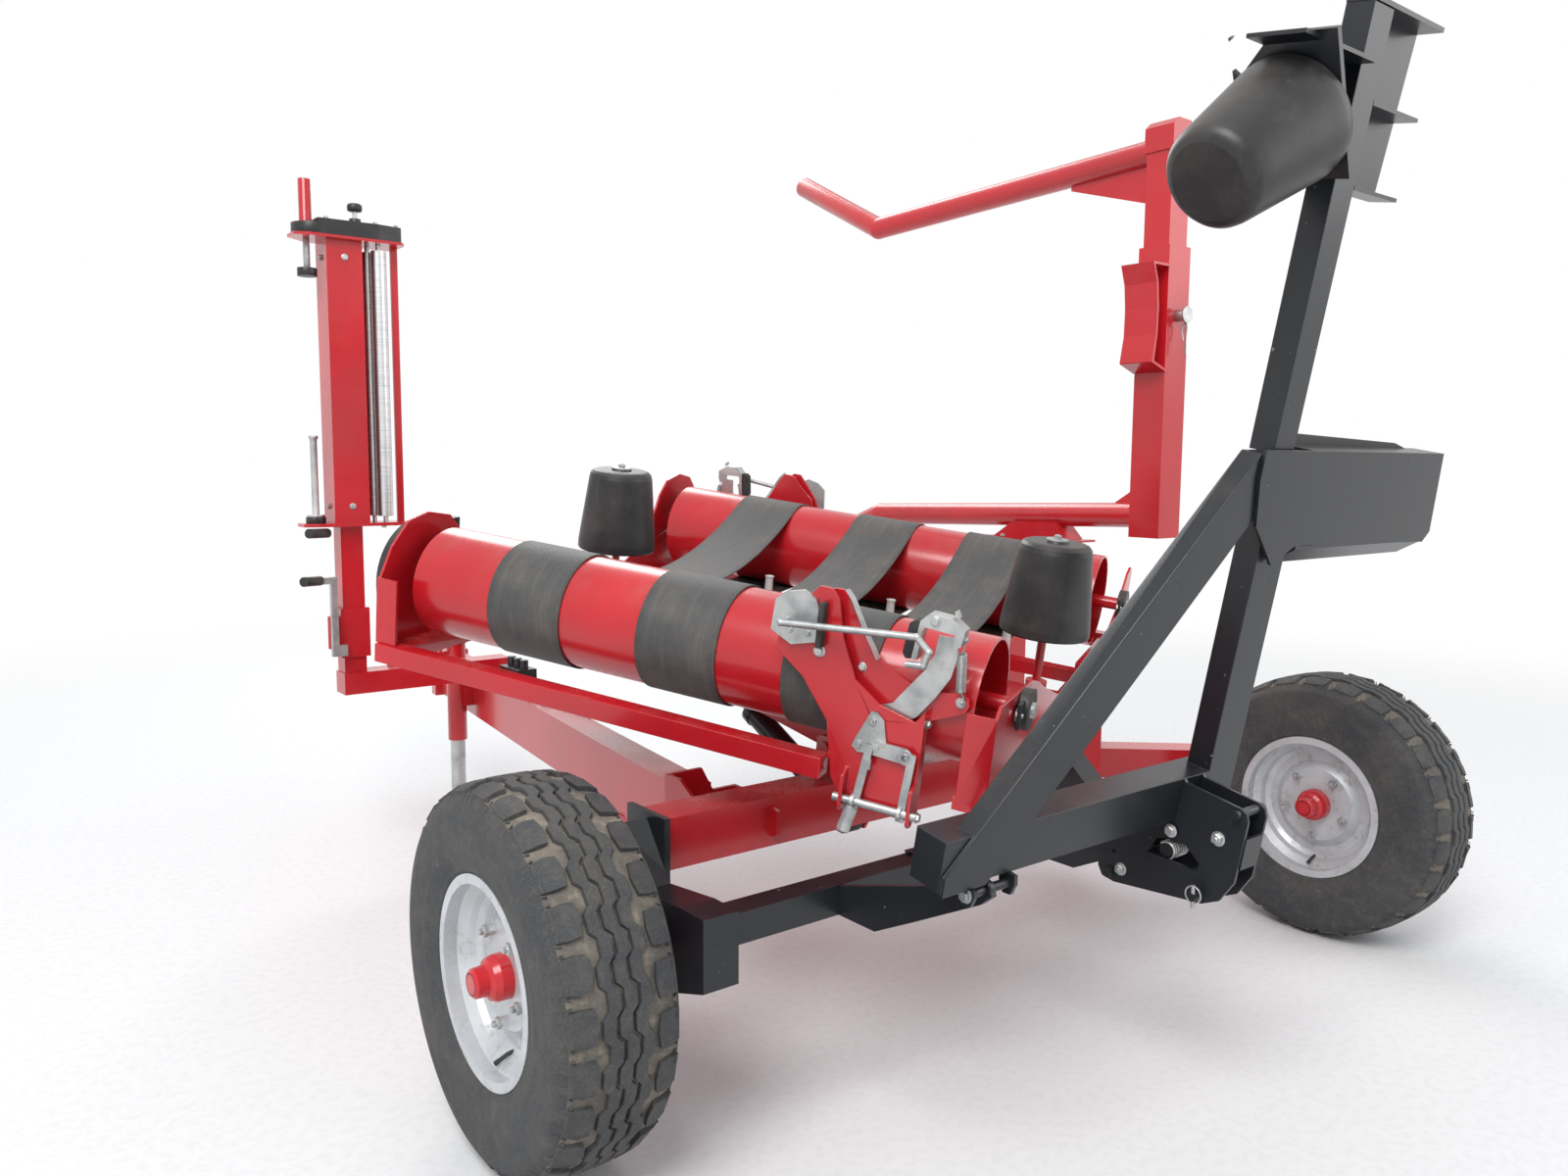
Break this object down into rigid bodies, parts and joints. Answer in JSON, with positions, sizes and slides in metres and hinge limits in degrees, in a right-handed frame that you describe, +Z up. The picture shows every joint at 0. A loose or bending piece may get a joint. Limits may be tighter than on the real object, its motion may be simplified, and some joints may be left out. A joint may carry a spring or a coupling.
{
  "type": "trailed bale wrapper",
  "caption": "Trailed round bale wrapper with a tilting turntable of two rollers and belts, a film mast, a side loading arm and a folding rear upender.",
  "frame": {"origin": "on the ground under the centre of the bounding box", "axes": "+Z up, +Y towards the tow eye, +X to the right seen from behind"},
  "size_m": [3.052, 4.1767, 2.8342],
  "materials": {
    "red_paint": "gloss",
    "black_paint": "satin",
    "zinc": "satin",
    "tyre_rubber": "matte",
    "rim_silver": "satin",
    "rod_chrome": "gloss",
    "belt_rubber": "matte",
    "white_plastic": "matte",
    "black_plastic": "satin",
    "aluminium": "satin"
  },
  "bodies": {
    "chassis": {"drawbar": "red_paint", "tow_eye": "black_paint", "cross_beam": "red_paint", "lateral_beam": "red_paint", "right_arm": "red_paint", "rear_cross_tube": "black_paint", "hinge_arms": "black_paint", "jack_body": "red_paint", "hydraulics": "black_paint", "film_post": "red_paint", "film_channel": "red_paint", "film_cover": "black_plastic", "film_fittings": "zinc"},
    "jack_leg": {"jack_leg": "zinc"},
    "wheel_left": {"tyre_left": "tyre_rubber", "rim_left": "rim_silver", "hub_left": "red_paint"},
    "wheel_right": {"tyre_right": "tyre_rubber", "rim_right": "rim_silver", "hub_right": "red_paint"},
    "tilt_frame": {"tilt_frame": "red_paint", "slew_motor": "black_paint"},
    "tilt_barrel": {"tilt_barrel": "black_paint"},
    "tilt_rod": {"tilt_rod": "rod_chrome"},
    "table": {"table_frame": "red_paint", "outer_rail": "red_paint", "belt_pegs": "white_plastic", "front_plate": "red_paint", "rear_plate": "red_paint", "chain_cover": "black_plastic", "belts": "belt_rubber", "cutter_frames": "red_paint", "cutter_fittings": "zinc"},
    "roller_near": {"roller_near": "red_paint"},
    "roller_far": {"roller_far": "red_paint"},
    "cone_front": {"cone_front": "black_plastic"},
    "cone_rear": {"cone_rear": "black_plastic"},
    "cutter_jaw_rear": {"cutter_jaw_rear": "zinc"},
    "cutter_jaw_front": {"cutter_jaw_front": "zinc"},
    "loader": {"loader_lever": "red_paint", "loader_post": "red_paint", "loader_top": "red_paint", "loader_pin": "zinc"},
    "loader_barrel": {"loader_barrel": "black_paint"},
    "loader_rod": {"loader_rod": "rod_chrome"},
    "upender": {"upender_frame": "black_paint", "upender_wing": "black_paint", "upender_head": "black_paint", "upender_latch": "black_paint", "upender_cone": "black_plastic"},
    "stretch_roller_front": {"stretch_roller_front": "aluminium"},
    "stretch_roller_rear": {"stretch_roller_rear": "aluminium"},
    "film_spindle": {"film_spindle": "zinc"}
  },
  "joints": [
    {"name": "jack_slide", "type": "slide", "parent": "chassis", "child": "jack_leg", "axis": [0, 0, 1], "range_m": [0, 0.31]},
    {"name": "wheel_left_spin", "type": "hinge", "parent": "chassis", "child": "wheel_left", "pos_m": [-1.384, -0.9696, 0.4225], "axis": [1, 0, 0], "continuous": true},
    {"name": "wheel_right_spin", "type": "hinge", "parent": "chassis", "child": "wheel_right", "pos_m": [1.266, -1.3566, 0.4225], "axis": [1, 0, 0], "continuous": true},
    {"name": "table_tilt", "type": "hinge", "parent": "chassis", "child": "tilt_frame", "pos_m": [-0.2265, -0.8896, 0.757], "axis": [1, 0, 0], "range_deg": [-8.5, 13.5]},
    {"name": "tilt_barrel_swing", "type": "hinge", "parent": "chassis", "child": "tilt_barrel", "pos_m": [-0.301, -0.7696, 0.5], "axis": [1, 0, 0], "range_deg": [-8.5, 13]},
    {"name": "tilt_rod_slide", "type": "slide", "parent": "tilt_barrel", "child": "tilt_rod", "axis": [0, 0.8923, 0.4513], "range_m": [-0.045, 0.068]},
    {"name": "table_turn", "type": "hinge", "parent": "tilt_frame", "child": "table", "pos_m": [-0.2265, -0.44141, 1.12731], "axis": [0, -0.1478, 0.989], "continuous": true},
    {"name": "roller_near_spin", "type": "hinge", "parent": "table", "child": "roller_near", "pos_m": [-0.82414, -0.75174, 1.08094], "axis": [-0.4648, 0.8757, 0.1309], "continuous": true},
    {"name": "roller_far_spin", "type": "hinge", "parent": "table", "child": "roller_far", "pos_m": [0.37114, -0.13109, 1.17369], "axis": [-0.4648, 0.8757, 0.1309], "continuous": true},
    {"name": "cone_front_spin", "type": "hinge", "parent": "table", "child": "cone_front", "pos_m": [-0.53794, 0.1305, 1.3139], "axis": [0, -0.1478, 0.989], "continuous": true},
    {"name": "cone_rear_spin", "type": "hinge", "parent": "table", "child": "cone_rear", "pos_m": [0.12306, -1.1147, 1.1278], "axis": [0, -0.1478, 0.989], "continuous": true},
    {"name": "cutter_rear_jaw", "type": "hinge", "parent": "table", "child": "cutter_jaw_rear", "pos_m": [-0.71091, -1.32918, 0.95318], "axis": [-0.8854, -0.4597, -0.0687], "range_deg": [0, 40]},
    {"name": "cutter_front_jaw", "type": "hinge", "parent": "table", "child": "cutter_jaw_front", "pos_m": [0.25792, 0.45847, 1.22035], "axis": [0.8854, 0.4597, 0.0687], "range_deg": [0, 40]},
    {"name": "loader_lift", "type": "hinge", "parent": "chassis", "child": "loader", "pos_m": [0.841, -0.1696, 0.45], "axis": [0, 1, 0], "range_deg": [0, 90]},
    {"name": "loader_barrel_swing", "type": "hinge", "parent": "chassis", "child": "loader_barrel", "pos_m": [0.191, -0.1696, 0.5], "axis": [0, 1, 0], "range_deg": [-1, 3]},
    {"name": "loader_rod_slide", "type": "slide", "parent": "loader_barrel", "child": "loader_rod", "axis": [0.9959, 0, 0.0905], "range_m": [0, 0.2]},
    {"name": "upender_fold", "type": "hinge", "parent": "chassis", "child": "upender", "pos_m": [-0.459, -1.7246, 0.69], "axis": [1, 0, 0], "range_deg": [0, 94]},
    {"name": "stretch_front_spin", "type": "hinge", "parent": "chassis", "child": "stretch_roller_front", "pos_m": [-0.966, 1.1004, 1.792], "axis": [0, 0, 1], "continuous": true},
    {"name": "stretch_rear_spin", "type": "hinge", "parent": "chassis", "child": "stretch_roller_rear", "pos_m": [-0.986, 1.1644, 1.792], "axis": [0, 0, 1], "continuous": true},
    {"name": "film_spindle_spin", "type": "hinge", "parent": "chassis", "child": "film_spindle", "pos_m": [-1.211, 1.1204, 1.392], "axis": [0, 0, 1], "continuous": true}
  ],
  "couplings": [
    {"joint": "tilt_barrel_swing", "follows": "table_tilt", "ratio": 0.95},
    {"joint": "tilt_rod_slide", "follows": "table_tilt", "m_per_rad": 0.277},
    {"joint": "roller_far_spin", "follows": "roller_near_spin", "ratio": 1},
    {"joint": "loader_barrel_swing", "follows": "loader_lift", "ratio": 0.0156},
    {"joint": "loader_rod_slide", "follows": "loader_lift", "m_per_rad": 0.127},
    {"joint": "stretch_rear_spin", "follows": "stretch_front_spin", "ratio": -0.6}
  ]
}
